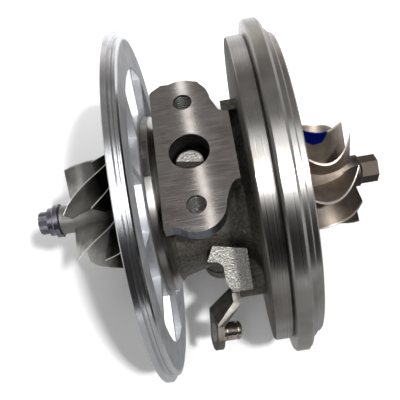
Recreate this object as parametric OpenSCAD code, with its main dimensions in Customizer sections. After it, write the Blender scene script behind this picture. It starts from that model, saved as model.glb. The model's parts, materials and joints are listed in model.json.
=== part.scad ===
// Turbocharger cartridge: the bearing housing with its rotor, backplate, seals and nozzle lever.
// +X runs along the rotor axis from compressor to turbine, +Z is the oil inlet side.
// The origin is on the rotor axis, in the plane where the turbine housing seats on the flange.

/* [Turbine flange] */
// Radius of the large clamping land
flange_r = 63; // [60:0.5:68]
// Width of the large clamping land
flange_land_w = 5.6; // [4:0.1:8]
// Radius of the small land behind it
step_land_r = 58; // [55:0.5:59.5]
// Width of the small land
step_land_w = 6.6; // [5:0.1:9]
// Radius of the spigot that enters the turbine housing
spigot_r = 58.6; // [55:0.1:59.5]
// Length of the spigot's full diameter
spigot_w = 2.4; // [1.5:0.1:4]
// Radius of the lip past the spigot
lip_r = 57; // [54:0.5:58]
// Length of the lip
lip_w = 2.1; // [1.5:0.1:2.5]
// Radius of the recess for the nozzle linkage
recess_r = 52.5; // [48:0.5:53.5]
// Depth of that recess from the lip's end
recess_depth = 3.8; // [2.8:0.1:3.9]
// Bevel on the edges of the lands
land_bevel = 0.6; // [0.2:0.1:1]

/* [Bearing housing] */
// Distance between the turbine seat and the compressor face
body_len = 48.2; // [47:0.1:54]
// Radius of the cast core at its waist
core_r = 27; // [25:0.5:28.5]
// How much wider the core is beside the compressor flange
core_flare = 2.5; // [0:0.5:4]
// Distance of the waist behind the turbine flange
core_waist = 18; // [14:0.5:20]
// Radius of the neck where the core meets the turbine flange
neck_r = 33; // [31:0.5:40]
// Radius of the flange that carries the backplate
comp_flange_r = 34; // [32:0.5:36]
// Thickness of that flange
comp_flange_t = 4.2; // [3:0.1:6]

/* [Oil inlet pad] */
// Height of the pad face above the rotor axis
pad_h = 33.3; // [31:0.1:36]
// Distance of the inlet centre behind the turbine seat
pad_x = 31.05; // [29:0.05:33]
// Radius of the pad's round ends about its tapped holes
pad_lobe_r = 9.9; // [9:0.1:10.4]
// Distance from the inlet centre to the pad's compressor edge
pad_left = 11.6; // [11:0.1:12]
// Distance from the inlet centre to the corner of its slanted side
pad_right = 6.6; // [6:0.1:8]
// Width of the tongue that runs to the turbine flange
pad_tongue_w = 29.4; // [26:0.2:31]
// Thickness of the pad's overhang
pad_t = 5.5; // [4:0.1:7]
// Gap between the tongue and the turbine flange
pad_gap = 3.2; // [2:0.1:5]
// How far the pad hangs over its pedestal
pad_inset = 2.5; // [1.5:0.1:4]
// Width of the lug between the pad and the flange
lug_w = 4.6; // [3:0.1:6]
// Length of that lug
lug_len = 5.6; // [4:0.1:7]
// Radius of the oil inlet
oil_r = 7.15; // [6:0.05:8]
// Depth of the oil inlet
oil_depth = 9; // [6:0.5:11]
// Radius of the tapped holes beside it
pad_hole_r = 3.4; // [2.5:0.1:4]
// Distance between the tapped holes
pad_hole_gap = 42; // [40:0.5:44]
// Depth of the tapped holes
pad_hole_depth = 13; // [9:0.5:15]
// Radius of the feed drillings to the bearings
feed_r = 1.2; // [0.8:0.1:1.6]
// Distance of the drillings from the middle of the oil inlet
feed_side = 4.2; // [2:0.1:4.5]

/* [Oil drain] */
// Depth of the drain face below the rotor axis
drain_h = 33; // [31:0.5:36]
// Distance of the drain centre behind the turbine seat
drain_x = 28; // [26.5:0.25:29]
// Radius of the drain
drain_r = 8; // [6.5:0.1:9]
// Distance between the drain's tapped holes
drain_hole_gap = 30; // [28:0.5:33]
// Radius of the drain's tapped holes
drain_hole_r = 3.4; // [2.5:0.1:4]
// Depth of the drain's tapped holes
drain_hole_depth = 10; // [7:0.5:12]
// Thickness of the drain flange
drain_t = 6; // [4:0.5:8]
// Metal around each of the drain's tapped holes
drain_rim = 3.6; // [2.5:0.1:4.5]

/* [Bearings] */
// Radius of the shaft journals
journal_r = 4; // [3.6:0.1:4.4]
// Running clearance of the shaft in a bush, on the radius
journal_clear = 0.04; // [0.02:0.01:0.08]
// Outer radius of the floating bushes
bush_r = 6.45; // [6:0.05:6.8]
// Running clearance of a bush in the housing, on the radius
bush_clear = 0.05; // [0.02:0.01:0.09]
// Length of a floating bush
bush_len = 8; // [6:0.25:8.5]
// Distance of the turbine bush behind the seat
bush_t_x = 10; // [9.6:0.1:11]
// Distance of the compressor bush from the compressor face
bush_c_depth = 10.8; // [10.4:0.1:11.2]
// Thickness of a retaining ring
clip_t = 1; // [0.8:0.1:1.2]
// Depth of a retaining ring's groove
clip_depth = 0.9; // [0.6:0.1:1.2]
// Free space at each end of a bush
bush_play = 0.2; // [0.1:0.05:0.4]
// Radius of the oil chamber between the bushes
chamber_r = 12.5; // [11.5:0.25:14]
// Wall between the chamber and a retaining ring
chamber_wall = 1; // [0.6:0.1:1.4]

/* [Thrust bearing] */
// Outer radius of the thrust plate
thrust_r = 19.5; // [17:0.25:21]
// Thickness of the thrust plate
thrust_t = 3.5; // [2.5:0.1:4.5]
// Depth of its seat below the compressor face
thrust_seat = 6.2; // [5.8:0.1:7]
// Radius of the thrust collar's flanges
collar_r = 8.5; // [7.5:0.1:9.5]
// Radius of the collar between its flanges
collar_neck_r = 5.6; // [5:0.1:6.2]
// Thickness of each collar flange
collar_t = 1.8; // [1.2:0.1:2.2]
// Oil film on each face of the thrust plate
thrust_film = 0.1; // [0.05:0.01:0.2]
// Clearance around the collar
collar_clear = 0.7; // [0.4:0.1:1]

/* [Seals] */
// Radius of the turbine seal bore
seal_t_r = 8.2; // [7.6:0.1:9]
// Depth of the turbine seal bore behind the flange seat
seal_t_depth = 5.6; // [5:0.1:6]
// Distance of the turbine piston ring from that bore's inner end
ring_t_inset = 2.6; // [2:0.1:3]
// Width of the oil catch groove behind the turbine seal
catch_w = 2.8; // [2:0.1:2.8]
// Radius of the compressor seal bore
seal_c_r = 8; // [7.4:0.1:9]
// Clearance of the turning sleeve in a seal bore
seal_clear = 0.35; // [0.3:0.05:0.6]
// Thickness of a piston ring
ring_t = 1.4; // [1:0.1:1.8]
// Radial width of a piston ring
ring_w = 1.3; // [1:0.1:1.6]
// Clearance of a piston ring in its groove
ring_clear = 0.1; // [0.05:0.01:0.2]
// Radius of the cord of the backplate's seal ring
cord_r = 1.1; // [0.8:0.1:1.4]
// Radius of the backplate's seal ring, at the cord's centre
cord_ring_r = 30.6; // [29.8:0.1:31]

/* [Shaft and nut] */
// Radius of the shaft through the compressor wheel
stub_r = 2.75; // [2.4:0.05:3]
// Fit of the wheel, collar and sleeve on the shaft, on the radius
stub_fit = 0.02; // [0.01:0.01:0.05]
// Radius of the nut's flange
nut_flange_r = 6.6; // [6:0.1:7]
// Thickness of the nut's flange
nut_flange_t = 2.4; // [1.8:0.1:3]
// Radius of the nut's collar
nut_collar_r = 5.6; // [5:0.1:5.9]
// Length of the nut's collar
nut_collar_t = 2.1; // [1.6:0.1:3]
// Radius over the points of the nut's drive
nut_drive_r = 4.5; // [4.2:0.1:5]
// Length of the nut's drive
nut_drive_t = 3.7; // [3:0.1:5]
// How far the shaft's end lies inside the nut
nut_sink = 0.8; // [0.3:0.1:1.5]

/* [Compressor wheel] */
// Distance from the compressor face to the wheel's leading edges
wheel_c_len = 31.8; // [30.5:0.1:34]
// Length of the nose in front of the leading edges
wheel_c_nose = 6.5; // [5:0.1:8]
// Radius of the nose
wheel_c_nose_r = 5.6; // [5.2:0.1:6.2]
// Radius of the blades at the leading edge
wheel_c_in_r = 20.5; // [19:0.1:22]
// Radius of the wheel's back disc
wheel_c_out_r = 28; // [27:0.1:29]
// Width of the blades at the outlet
wheel_c_out_w = 3; // [2:0.1:4]
// Thickness of the back disc at its edge
wheel_c_disc_t = 1.2; // [0.8:0.1:1.6]
// Number of full blades, with a short blade between each two
blades_c = 6; // [5:1:7]
// Blade thickness at the tip
blade_c_tip = 0.5; // [0.4:0.05:0.8]
// Blade thickness at the hub
blade_c_root = 1.3; // [0.9:0.1:1.8]
// Angle of the first full blade
blade_c_angle = 114; // [0:1:359]
// Sweep back of the blades at the outlet
blade_c_sweep = 16; // [0:1:25]
// How far the blades end inside the back disc's edge
blade_c_inset = 0.3; // [0.1:0.1:0.8]
// Gap behind the wheel's back disc
wheel_c_gap = 0.8; // [0.5:0.1:1.2]
// How far the wheel's boss reaches into the backplate
wheel_c_reach = 0.5; // [0.2:0.1:0.8]

/* [Turbine wheel] */
// Radius of the blades at the inlet
wheel_t_in_r = 22; // [20:0.1:24]
// Radius of the blades at the outlet
wheel_t_out_r = 19.6; // [18:0.1:20.5]
// Distance from the flange seat to the wheel's back
wheel_t_back = 2.6; // [2.4:0.1:3.2]
// Distance from the flange seat to the blades' outlet edges
wheel_t_out = 26.9; // [25:0.1:29]
// Width of the blades at the inlet
wheel_t_in_w = 6.4; // [5:0.1:8]
// Radius of the scalloped back disc
wheel_t_disc_r = 18.5; // [16:0.1:19.5]
// Radius of the hub at the outlet
wheel_t_hub_r = 6.1; // [5.5:0.1:7]
// Length of the hub past the blades
wheel_t_hub_len = 4.4; // [3:0.1:6]
// Radius over the corners of the hexagonal end
hex_r = 5.3; // [4.5:0.1:5.4]
// Length of the hexagonal end
hex_len = 6.1; // [5:0.1:8]
// Number of blades
blades_t = 9; // [8:1:11]
// Blade thickness at the tip
blade_t_tip = 0.8; // [0.6:0.05:1.2]
// Blade thickness at the hub
blade_t_root = 2; // [1.4:0.1:2.6]
// Angle of the first blade
blade_t_angle = 95.9; // [0:0.1:359]

/* [Heat shield] */
// Outer radius of the heat shield
shield_r = 27.5; // [25:0.5:29]
// Thickness of its sheet
shield_t = 0.7; // [0.5:0.05:0.7]
// Radius of its centre hole
shield_hole_r = 9.4; // [9.2:0.1:11]
// Width of the flat rim around its dished middle
shield_rim = 5; // [3:0.5:7]
// Gap between the heat shield and the turbine wheel
shield_gap = 0.7; // [0.5:0.1:1]

/* [Backplate] */
// Radius of the rim's outer edge
rim_r = 66.9; // [64:0.1:70]
// Width of the rim's outer edge
rim_edge_w = 2.1; // [1.4:0.1:2.6]
// Total thickness of the rim
rim_w = 5.05; // [4.6:0.05:6]
// Radius of the turned band behind the edge
rim_band_r = 65.2; // [63.5:0.1:65.8]
// Radius of the rim's housing side face
face_r = 62.8; // [61:0.1:63.2]
// Outer radius of the cast pockets
pocket_out_r = 53; // [48:0.5:55]
// Inner radius of the cast pockets
pocket_in_r = 36; // [34.5:0.5:40]
// Depth of the cast pockets
pocket_depth = 3; // [2:0.1:3.4]
// Number of pockets
pockets = 12; // [8:1:14]
// Thickness of the ribs between the pockets
rib_w = 2.6; // [1.6:0.1:4]
// Clearance around the wheel in the backplate
wheel_pocket_clear = 0.7; // [0.4:0.1:1.2]
// Depth of the wheel's recess in the backplate
wheel_pocket_depth = 1.5; // [1.2:0.1:2]

/* [Backplate bolts] */
// Number of bolts
bolts = 4; // [3:1:6]
// Radius of the circle that the bolts stand on
bolt_pcr = 24.6; // [24:0.1:25]
// Radius of a bolt's thread
bolt_r = 1.75; // [1.5:0.05:2]
// Radius of a bolt's countersunk head
bolt_head_r = 3; // [2.6:0.1:3.2]
// Length of a bolt under its countersink
bolt_len = 8.4; // [7:0.1:9.5]
// Radius of the hexagonal socket in a bolt's head
bolt_socket_r = 1.2; // [0.8:0.1:1.4]

/* [Lever boss] */
// Distance of the lever's pivot from the rotor axis
pivot_dist = 34.6; // [34:0.1:35.6]
// Angle of the pivot around the rotor axis
pivot_angle = 204; // [202:0.5:206]
// Radius of the cast boss around the pivot
boss_r = 6.2; // [5.6:0.1:6.8]
// Length of the boss behind the flange
boss_len = 10; // [8.5:0.1:11]
// Direction of the block above the boss
boss_angle = 209; // [205:0.5:213]
// How far the block stands over the lever
block_over = 4; // [3:0.1:5]
// Length of the block behind the lever
block_len = 5.2; // [4:0.1:6]
// Gap between the block and the lever's eye
block_gap = 1; // [0.6:0.1:1.5]
// Distance of the block's sloping face from the rotor axis
boss_near = 17.8; // [16:0.1:19]
// Distance of the outer end of that face
boss_far = 36; // [34:0.5:38]
// Height of the face's inner end
boss_rise = 23.3; // [22:0.1:25]
// Slope of the face
boss_tilt = 16; // [10:0.5:20]
// Height of the web behind the block
boss_web = 9; // [7:0.5:12]
// Length of the ear on the block's compressor side
ear_len = 5.3; // [3:0.1:7]
// Distance of the ear's outer end from the rotor axis
ear_far = 24; // [22:0.5:26]
// Lean of the ear's compressor side
ear_slant = 2.6; // [0:0.1:4]
// Lean of the face's inner edge
near_slant = 3; // [0:0.1:4]
// Bevel in the corner between the block and its ear
ear_fillet = 1.6; // [0.5:0.1:2.5]
// Bevel of the block's outer corner
corner_cut = 2.5; // [1:0.1:3.5]

/* [Nozzle lever] */
// Radius of the lever's shaft
pivot_r = 2.8; // [2.4:0.05:3]
// Running clearance of the shaft in its bush, on the radius
pivot_clear = 0.05; // [0.02:0.01:0.09]
// Wall of the pivot bush
pivot_bush_t = 1.2; // [0.8:0.1:1.5]
// Thickness of the lever's plate
lever_t = 2.6; // [2:0.1:3.2]
// Radius of the eye around the shaft
eye_r = 6; // [5:0.1:6.5]
// Distance from the pivot to the pin
lever_len = 18.1; // [17:0.1:20]
// How far the lever's end is bent towards the compressor
joggle = 9.3; // [7:0.1:10.5]
// Twist of the lever's end about its length
lever_twist = 18; // [0:1:25]
// Lean of the lever's end towards the compressor
end_lean = 6; // [0:1:10]
// Lean of the lever about the pivot
lever_lean = 5; // [0:1:12]
// Half width of the lever's end
end_r = 5.2; // [4.8:0.1:5.6]
// Distance from the pin to the lever's round end
end_tail = 1.6; // [0:0.1:3]
// Distance from the pin's collar to the bend
bend_gap = 0.4; // [0.3:0.1:1]
// Distance from the pivot to the first bend
bend_in = 5.6; // [5:0.1:6.4]
// Skew of the two bends across the plate
bend_skew = 25; // [0:1:30]
// Radius of the pin
pin_r = 3.7; // [3.2:0.1:3.8]
// Length of the pin past the plate
pin_len = 7.6; // [7:0.1:9]
// Radius of the pin's root collar
pin_collar_r = 4.2; // [4:0.1:4.4]
// Thickness of the pin's root collar
pin_collar_t = 1; // [0.6:0.1:1.6]
// Depth of the grooves in the pin
pin_groove = 0.7; // [0.3:0.05:0.9]
// Width of the relief groove at the pin's collar
pin_relief_w = 0.8; // [0.5:0.1:1]
// Width of the clip groove near the pin's end
pin_groove_w = 1; // [0.6:0.1:1.4]
// Length of the pin past its clip groove
pin_head = 1.4; // [1:0.1:2]
// Length of the crank inside the flange
crank_len = 10; // [8:0.25:11]
// Thickness of the crank
crank_t = 2.2; // [1.6:0.1:2.5]
// Clearance between the crank and the recess floor
crank_gap = 0.4; // [0.3:0.1:0.8]

/* [Hidden] */
$fn = 96;
eps = 0.01;
blade_spans = 3;
deep = 200;

// Stations along the rotor axis
flange_back = -(flange_land_w + step_land_w);
lip_end = spigot_w + lip_w;
recess_floor = lip_end - recess_depth;
comp_face = -body_len;
thrust_floor = comp_face + thrust_seat;
thrust_front = thrust_floor - thrust_t;
collar_end = thrust_floor + thrust_film + collar_t;
collar_front = thrust_front - thrust_film - collar_t;
rim_face = comp_face;
rim_front = rim_face - rim_w;
wheel_seat = rim_front + wheel_pocket_depth;
wheel_c_back = wheel_seat - wheel_c_gap;
wheel_c_boss = wheel_seat + wheel_c_reach;
wheel_c_edge = comp_face - wheel_c_len;
wheel_c_tip = wheel_c_edge - wheel_c_nose;
nut_end = wheel_c_tip - nut_flange_t - nut_collar_t - nut_drive_t;
shaft_end = nut_end + nut_sink;
seal_t_end = -seal_t_depth;
catch_end = seal_t_end - catch_w;
shield_dish = max(0.1, wheel_t_back - recess_floor - shield_t - shield_gap);

// Fits and places that follow from the bearing sizes
bush_c_x = body_len - bush_c_depth - bush_len;
bore_r = bush_r + bush_clear;
clip_r = bore_r + clip_depth;
seal_t_shaft = seal_t_r - seal_clear;
seal_c_shaft = seal_c_r - seal_clear;
pilot_clear = 0.25;
thrust_slot = collar_neck_r + collar_clear;
counterbore_r = collar_r + collar_clear;

// Edges of the pad that follow from its holes and the flange
pad_half = pad_hole_gap / 2 + pad_lobe_r;
tongue_end = pad_x + flange_back - pad_gap;

// Places of the lever
pivot_y = pivot_dist * cos(pivot_angle);
pivot_z = pivot_dist * sin(pivot_angle);
boss_end = flange_back - boss_len;
block_front = boss_end - block_over;
block_end = boss_end + block_len;
// How far neighbouring slices of the boss reach into each other
boss_lap = 0.6;
lever_gap = 0.3;
band_w = 1.2;
lever_face = boss_end - lever_gap;
lever_angle = pivot_angle + lever_lean;
pivot_bush_r = pivot_r + pivot_clear + pivot_bush_t;
block_foot = pivot_dist * sin(boss_angle - pivot_angle) + eye_r + block_gap;

// Turns a radius and axial distance profile about the rotor axis
module turned(points) {
    rotate([0, 90, 0])
        rotate_extrude()
            polygon(points);
}

// A round bar along X from one station to another
module bar(x0, x1, r) {
    translate([x0, 0, 0])
        rotate([0, 90, 0])
            cylinder(h = x1 - x0, r = r);
}

// A ring along X
module ring(x0, x1, r_in, r_out) {
    turned([[r_in, x0], [r_out, x0], [r_out, x1], [r_in, x1]]);
}

// Moves the children to the lever's pivot
module at_pivot() {
    translate([0, pivot_y, pivot_z])
        children();
}

// A point at a distance along and around the rotor axis
function around(x, r, angle) = [x, r * cos(angle), r * sin(angle)];

// A cubic curve through a plane, from its four control points
function curve(p, t) = pow(1 - t, 3) * p[0] + 3 * pow(1 - t, 2) * t * p[1]
    + 3 * (1 - t) * t * t * p[2] + t * t * t * p[3];

// A blade's section at one place between its hub and tip lines: up one side and down the other
function blade_section(hub, tip, hub_angle, tip_angle, root, edge) =
    let (row = [for (k = [0 : blade_spans]) let (s = k / blade_spans, p = hub + (tip - hub) * s)
             [p, hub_angle + (tip_angle - hub_angle) * s, (root + (edge - root) * s) / p[1] * 90 / PI]])
    concat([for (q = row) around(q[0][0], q[0][1], q[1] - q[2])],
           [for (k = [blade_spans : -1 : 0]) let (q = row[k]) around(q[0][0], q[0][1], q[1] + q[2])]);

// Skins a row of sections that have the same number of points
module skinned(sections) {
    n = len(sections[0]);
    end = n * (len(sections) - 1);
    sides = [for (i = [0 : n : end - 1]) for (j = [0 : n - 1]) let (k = (j + 1) % n)
        each [[i + j, i + n + k, i + k], [i + j, i + n + j, i + n + k]]];
    first = [for (k = [0 : n / 2 - 2]) each [[k, k + 1, n - 2 - k], [k, n - 2 - k, n - 1 - k]]];
    last = [for (f = first) [end + f[0], end + f[2], end + f[1]]];
    polyhedron(points = [for (s = sections) each s], faces = concat(sides, first, last), convexity = 6);
}

// Outline of the oil inlet pad, seen from above, with the inlet at its centre
module pad_outline() {
    half = pad_tongue_w / 2;
    for (side = [-1, 1])
        translate([0, side * pad_hole_gap / 2])
            circle(r = pad_lobe_r);
    polygon([[-pad_left, -pad_half + 2.9], [-pad_left + 2.7, -pad_half + 3.1], [-pad_left / 2, -pad_half + 2.3],
             [pad_lobe_r - 0.7, -pad_half + 7.3], [tongue_end - 4.4, -half - 3.1],
             [tongue_end - 3.1, -half - 0.7], [tongue_end - 1.6, -half + 0.6], [tongue_end, -half + 0.9],
             [tongue_end, half - 0.7], [tongue_end - 3.4, half + 0.5],
             [pad_right, pad_half - 2], [pad_right - 1.2, pad_half - 1.3],
             [-pad_left + 4.4, pad_half - 0.7], [-pad_left + 0.7, pad_half - 3], [-pad_left, pad_half - 4]]);
}

// Outline of the drain flange, round at its two bolt ends
module drain_outline() {
    hull() {
        for (side = [-1, 1])
            translate([0, side * drain_hole_gap / 2])
                circle(r = drain_hole_r + drain_rim, $fn = 32);
        circle(r = drain_r + drain_rim + 1, $fn = 32);
    }
}

module housing_casting() {
    neck_x = flange_back - 6;
    under_pad = pad_h - pad_t;
    pad_end = 9;
    pad_boss_h = 10;
    turned([[0, comp_face], [comp_flange_r - 0.8, comp_face], [comp_flange_r, comp_face + 0.8],
            [comp_flange_r, comp_face + comp_flange_t - 1],
            [comp_flange_r - 1.4, comp_face + comp_flange_t],
            [core_r + core_flare, comp_face + comp_flange_t + 3],
            [core_r, flange_back - core_waist], [core_r, neck_x], [core_r + 2, neck_x + 3.5],
            [neck_r, flange_back], [step_land_r - land_bevel, flange_back],
            [step_land_r, flange_back + land_bevel], [step_land_r, -flange_land_w - 0.8],
            [step_land_r - 0.8, -flange_land_w], [flange_r - land_bevel, -flange_land_w],
            [flange_r, -flange_land_w + land_bevel], [flange_r, -land_bevel * 1.6],
            [flange_r - land_bevel * 1.6, 0], [spigot_r, 0], [spigot_r, spigot_w - 0.4],
            [spigot_r - 0.4, spigot_w], [lip_r, spigot_w], [lip_r, lip_end - 0.4],
            [lip_r - 0.4, lip_end], [recess_r, lip_end], [recess_r, recess_floor], [0, recess_floor]]);
    // Pad, its pedestal and the lug that ties it to the flange
    translate([-pad_x, 0, pad_h - pad_t])
        linear_extrude(height = pad_t)
            pad_outline();
    translate([-pad_x - pad_left + pad_inset, -pad_half + pad_end, 0])
        cube([pad_left + pad_right + 1 - pad_inset, 2 * (pad_half - pad_end), under_pad + eps]);
    translate([-pad_x, -pad_tongue_w / 2 + pad_inset, 0])
        cube([tongue_end - pad_inset, pad_tongue_w - 2 * pad_inset, under_pad + eps]);
    for (side = [-1, 1])
        translate([-pad_x, side * pad_hole_gap / 2, under_pad - pad_boss_h])
            cylinder(h = pad_boss_h + eps, r1 = pad_hole_r + 2, r2 = pad_hole_r + 4.5);
    translate([flange_back - lug_len, pad_tongue_w / 2 + 1, 0])
        cube([lug_len + 0.4, lug_w, pad_h - 2]);
    // Drain block under the core
    translate([-drain_x, 0, -drain_h])
        linear_extrude(height = drain_t)
            drain_outline();
    translate([-drain_x, 0, -drain_h])
        cylinder(h = drain_h, r = drain_r + drain_rim);
    for (side = [-1, 1])
        translate([-drain_x, side * drain_hole_gap / 2, -drain_h])
            cylinder(h = drain_hole_depth + 4, r = drain_hole_r + drain_rim - 0.4);
    // Boss for the lever's shaft, the block and ear beside it and the lower web behind
    at_pivot()
        bar(boss_end, flange_back + boss_lap, boss_r);
    rotate([boss_angle, 0, 0])
        mirror([0, 0, 1])
            boss_block();
}

// Block and ear, which share one sloping face and an L-shaped outline, and the web behind them
module boss_block() {
    web_foot = 3;
    far_height = boss_rise - (boss_far - boss_near) * tan(boss_tilt);
    intersection() {
        union() {
            boss_slice(block_front - ear_len - 1, boss_end + 2 * boss_lap, far_height, block_foot);
            boss_slice(boss_end + boss_lap, block_end, far_height, web_foot);
        }
        linear_extrude(height = boss_rise + 1)
            boss_outline();
    }
    boss_slice(block_end - boss_lap, flange_back + boss_lap, boss_web, web_foot);
}

// The L-shape of the block and its ear; it runs past the ends that the slices have
module boss_outline() {
    ear_end = block_front - ear_len;
    polygon([[ear_end + ear_slant, boss_near], [block_end + 1, boss_near + near_slant],
             [block_end + 1, boss_far + 1], [block_front + corner_cut, boss_far + 1],
             [block_front, boss_far - 1.7 * corner_cut], [block_front, ear_far + ear_fillet],
             [block_front - ear_fillet, ear_far], [ear_end, ear_far - ear_fillet / 2]]);
}

// A slice of the block between two stations, with the height of its outer end and of its underside
module boss_slice(x0, x1, height, foot) {
    inner = boss_near - 7;
    near_height = min(boss_rise, height + (boss_far - boss_near) * tan(boss_tilt));
    translate([x0, 0, 0])
        rotate([90, 0, 90])
            linear_extrude(height = x1 - x0)
                polygon([[inner, foot], [inner, max(foot + 1, near_height - 8)],
                         [boss_near, near_height], [boss_far - 1.5, height + 0.4],
                         [boss_far, height - 0.8], [boss_far, foot + 2]]);
}

module housing_bores() {
    catch_depth = 2;
    ring_reach = bush_play + clip_t + chamber_wall;
    // Bearing bore, chamber and seal bore along the rotor
    bar(comp_face - 1, recess_floor + 1, bore_r);
    bar(-bush_c_x + ring_reach, -bush_t_x - bush_len - ring_reach, chamber_r);
    bar(catch_end, seal_t_end, seal_t_r + catch_depth);
    bar(seal_t_end - 1, recess_floor + 1, seal_t_r);
    bar(comp_face - 1, thrust_floor, thrust_r + pilot_clear);
    bar(comp_face - 1, collar_end + 0.4, counterbore_r);
    for (x = clip_stations())
        bar(x, x + clip_t, clip_r);
    // Oil inlet, its feeds and its bolt holes
    translate([-pad_x, 0, pad_h - oil_depth])
        cylinder(h = oil_depth + 1, r = oil_r);
    feed(-bush_c_x - bush_len / 2);
    feed(-bush_t_x - bush_len / 2);
    for (side = [-1, 1])
        translate([-pad_x, side * pad_hole_gap / 2, pad_h - pad_hole_depth])
            cylinder(h = pad_hole_depth + 1, r = pad_hole_r);
    // Drain and its bolt holes
    translate([-drain_x, 0, -drain_h - 1])
        cylinder(h = drain_h + 1 - chamber_r + 3, r = drain_r);
    for (side = [-1, 1])
        translate([-drain_x, side * drain_hole_gap / 2, -drain_h - 1])
            cylinder(h = drain_hole_depth + 1, r = drain_hole_r);
    // Seal ring groove, backplate bolts and the lever's bush
    ring(comp_face - 1, comp_face + 2 * cord_r, cord_ring_r - cord_r, cord_ring_r + cord_r);
    for (a = bolt_angles())
        rotate([a, 0, 0])
            translate([0, bolt_pcr, 0])
                bar(comp_face - 1, comp_face + bolt_len - wheel_web() + 1, bolt_r);
    at_pivot()
        bar(boss_end - 1, recess_floor + 1, pivot_bush_r);
}

// A drilled feed from the side of the oil inlet's floor to the middle of a bush
module feed(x_to) {
    from = [-pad_x, -feed_side, pad_h - oil_depth + 1];
    way = [x_to, 0, bore_r * 0.6] - from;
    translate(from)
        rotate([0, acos(way[2] / norm(way)), atan2(way[1], way[0])])
            cylinder(h = norm(way), r = feed_r);
}

function clip_stations() = [for (s = [bush_c_x, bush_t_x]) each
    [-s + bush_play, -s - bush_len - bush_play - clip_t]];
function bolt_angles() = [for (i = [0 : bolts - 1]) 45 + 360 / bolts * i];
function wheel_web() = rim_w - wheel_pocket_depth;

module bearing_housing() {
    color("dimgray")
        difference() {
            housing_casting();
            housing_bores();
        }
}

module backplate_body() {
    turned([[seal_c_r, rim_front], [rim_r - 0.3, rim_front],
            [rim_r, rim_front + 0.3], [rim_r, rim_front + rim_edge_w],
            [rim_band_r, rim_front + rim_edge_w + 0.3], [rim_band_r, rim_face - 1.9],
            [rim_band_r - 0.8, rim_face - 1.7], [rim_band_r - 0.8, rim_face - 1.2],
            [rim_band_r - 0.3, rim_face - 1], [rim_band_r - 0.3, rim_face - 0.6],
            [face_r, rim_face], [seal_c_r, rim_face]]);
    // Pilot that centres the plate in the housing and clamps the thrust plate
    ring(rim_face - eps, thrust_front, seal_c_r, thrust_r);
}

module backplate_pockets() {
    difference() {
        ring(rim_face - pocket_depth, rim_face + 1, pocket_in_r, pocket_out_r);
        for (i = [0 : pockets - 1])
            rotate([360 / pockets * (i + 0.5), 0, 0])
                translate([rim_face - pocket_depth - 1, 0, -rib_w / 2])
                    cube([pocket_depth + 3, pocket_out_r + 2, rib_w]);
    }
}

module compressor_backplate() {
    head_depth = bolt_head_r - bolt_r;
    color("silver")
        difference() {
            backplate_body();
            backplate_pockets();
            ring(rim_front - 1, wheel_seat, seal_c_r - 1, wheel_c_out_r + wheel_pocket_clear);
            bar(collar_front - 0.4, thrust_front + 1, counterbore_r);
            for (a = bolt_angles())
                rotate([a, 0, 0])
                    translate([0, bolt_pcr, 0]) {
                        bar(rim_front, rim_face + 1, bolt_r);
                        turned([[0, wheel_seat - eps], [bolt_head_r, wheel_seat - eps],
                                [bolt_r, wheel_seat + head_depth], [0, wheel_seat + head_depth]]);
                    }
        }
}

module backplate_bolts() {
    head_depth = bolt_head_r - bolt_r;
    color("darkslategray")
        for (a = bolt_angles())
            rotate([a, 0, 0])
                translate([0, bolt_pcr, 0])
                    difference() {
                        turned([[0, wheel_seat], [bolt_head_r - eps, wheel_seat],
                                [bolt_r - eps, wheel_seat + head_depth],
                                [bolt_r - eps, wheel_seat + bolt_len], [0, wheel_seat + bolt_len]]);
                        translate([wheel_seat - 1, 0, 0])
                            rotate([0, 90, 0])
                                cylinder(h = 2.2, r = bolt_socket_r, $fn = 6);
                    }
}

module backplate_seal_ring() {
    color("black")
        translate([comp_face + cord_r, 0, 0])
            rotate([0, 90, 0])
                rotate_extrude()
                    translate([cord_ring_r, 0])
                        circle(r = cord_r - eps, $fn = 32);
}

module thrust_bearing() {
    color("peru")
        difference() {
            ring(thrust_front, thrust_floor, thrust_slot, thrust_r);
            translate([thrust_front - 1, -thrust_slot, -deep])
                cube([thrust_t + 2, 2 * thrust_slot, deep]);
        }
}

module bush_retaining_rings() {
    color("gray")
        for (x = clip_stations())
            difference() {
                ring(x + eps, x + clip_t - eps, journal_r + 1.2, clip_r - eps);
                translate([x - 1, -1.2, 0])
                    cube([clip_t + 2, 2.4, deep]);
            }
}

// A floating bush with a ring of oil holes
module floating_bush(x_end) {
    holes = 6;
    difference() {
        ring(-x_end - bush_len, -x_end, journal_r + journal_clear, bush_r);
        for (i = [0 : holes - 1])
            rotate([360 / holes * i + 30, 0, 0])
                translate([-x_end - bush_len / 2, 0, 0])
                    cylinder(h = bush_r + 1, r = feed_r * 0.7);
    }
}

module journal_bush_compressor() {
    color("goldenrod")
        floating_bush(bush_c_x);
}

module journal_bush_turbine() {
    color("goldenrod")
        floating_bush(bush_t_x);
}

// A split piston ring that springs against its bore
module piston_ring(x_mid, r_out) {
    slit = 0.5;
    difference() {
        ring(x_mid - ring_t / 2, x_mid + ring_t / 2, r_out - ring_w, r_out);
        translate([x_mid - ring_t, -slit / 2, 0])
            cube([2 * ring_t, slit, deep]);
    }
}

function ring_t_x() = seal_t_end + ring_t_inset;
function ring_c_x() = (collar_front + wheel_c_boss) / 2;

module piston_ring_compressor() {
    color("slategray")
        piston_ring(ring_c_x(), seal_c_r - eps);
}

module piston_ring_turbine() {
    color("slategray")
        piston_ring(ring_t_x(), seal_t_r - eps);
}

module heat_shield() {
    shield_in = shield_r - shield_rim;
    color("rosybrown")
        turned([[shield_hole_r, recess_floor + shield_dish], [shield_in, recess_floor + shield_dish],
                [shield_in + 1, recess_floor], [shield_r, recess_floor],
                [shield_r, recess_floor + shield_t], [shield_in + 1, recess_floor + shield_t],
                [shield_in, recess_floor + shield_dish + shield_t],
                [shield_hole_r, recess_floor + shield_dish + shield_t]]);
}

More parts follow.
